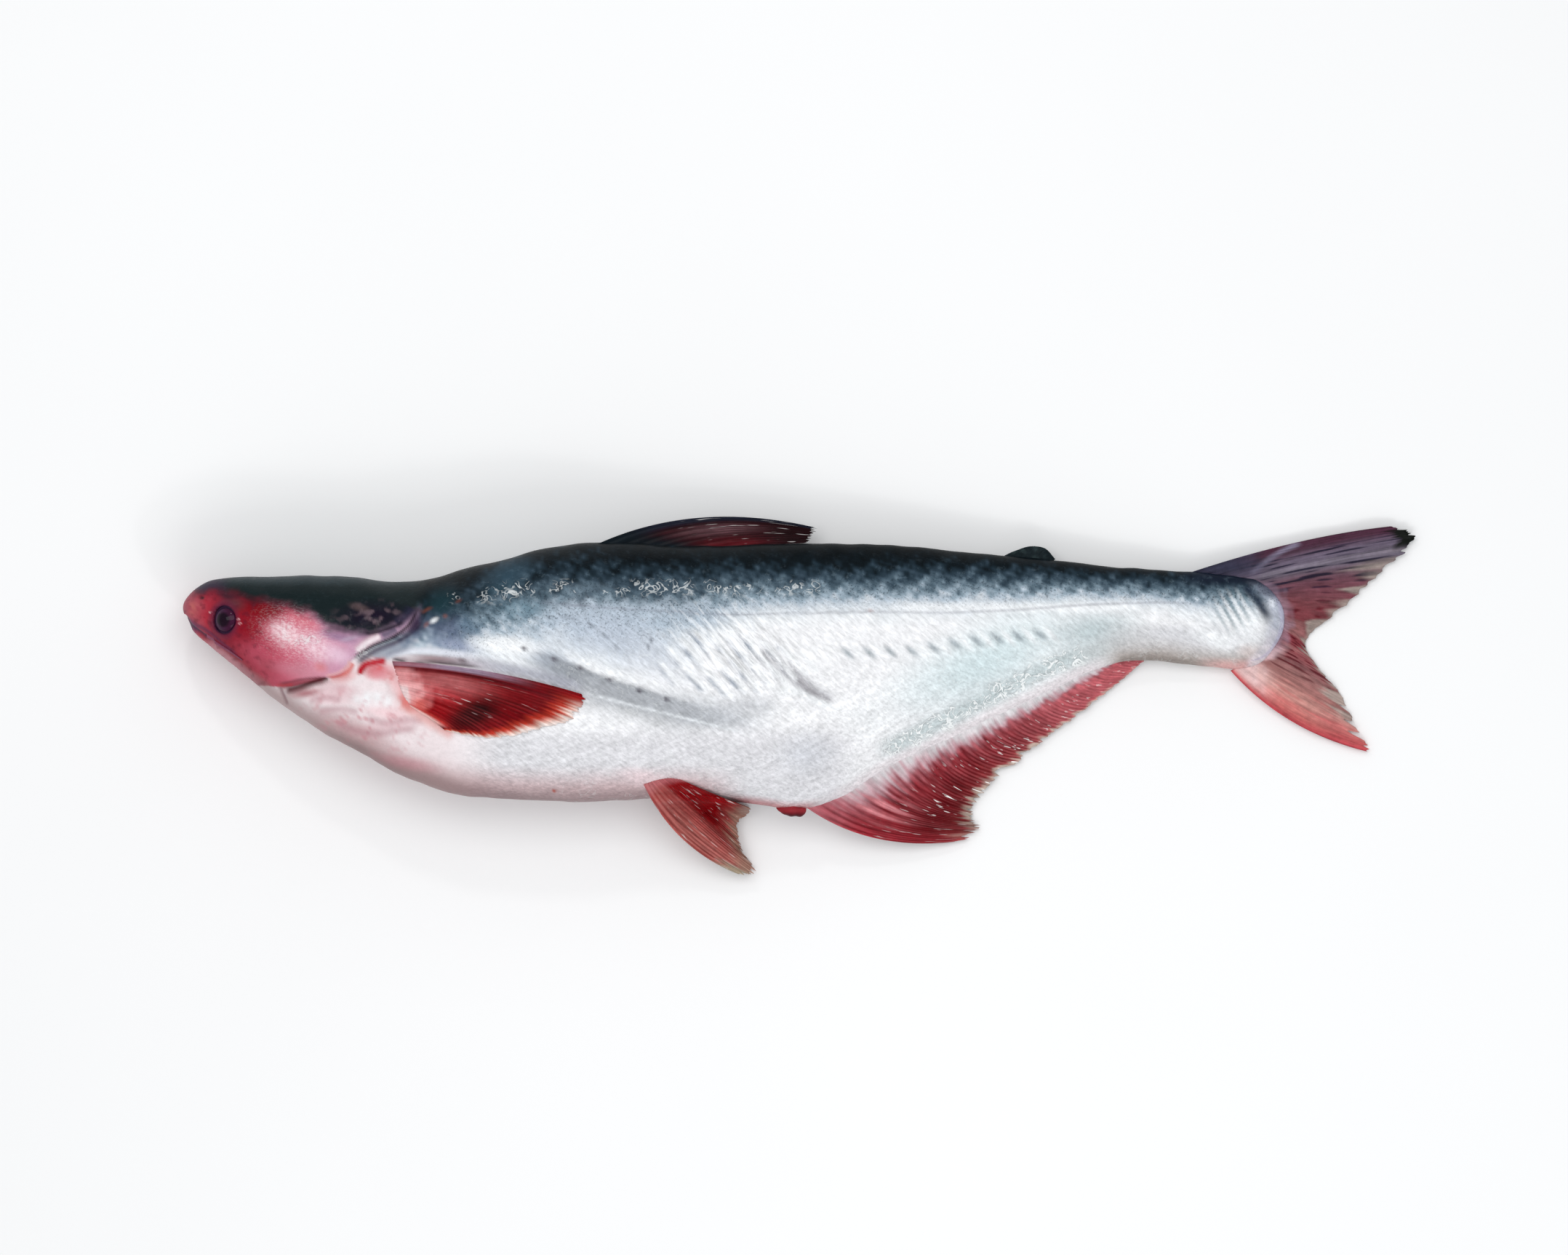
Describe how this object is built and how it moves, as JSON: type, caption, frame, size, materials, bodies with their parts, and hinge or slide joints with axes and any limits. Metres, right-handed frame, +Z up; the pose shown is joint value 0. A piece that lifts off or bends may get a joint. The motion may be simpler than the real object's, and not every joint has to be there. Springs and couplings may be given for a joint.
{
  "type": "whole raw catfish",
  "caption": "Whole raw catfish lying on its side, with a flat head, deep belly, long anal fin and forked tail, for a counter, tray or ice display.",
  "frame": {"origin": "centre of the bounding box in X and Y, on the surface that the fish lies on", "axes": "+X from the snout to the tail, +Y from the belly to the back, +Z up out of the left flank"},
  "size_m": [0.5608, 0.1646, 0.0723],
  "materials": {
    "skin": "wet fish skin: blue-black back, silver flank, white belly, red cheek",
    "fin": "wet fin membrane over soft rays, dark red with grey torn edges",
    "eye": "wet, dark and glossy"
  },
  "bodies": {
    "root": {"fish": "skin", "eye_left": "eye", "eye_right": "eye"}
  },
  "joints": []
}
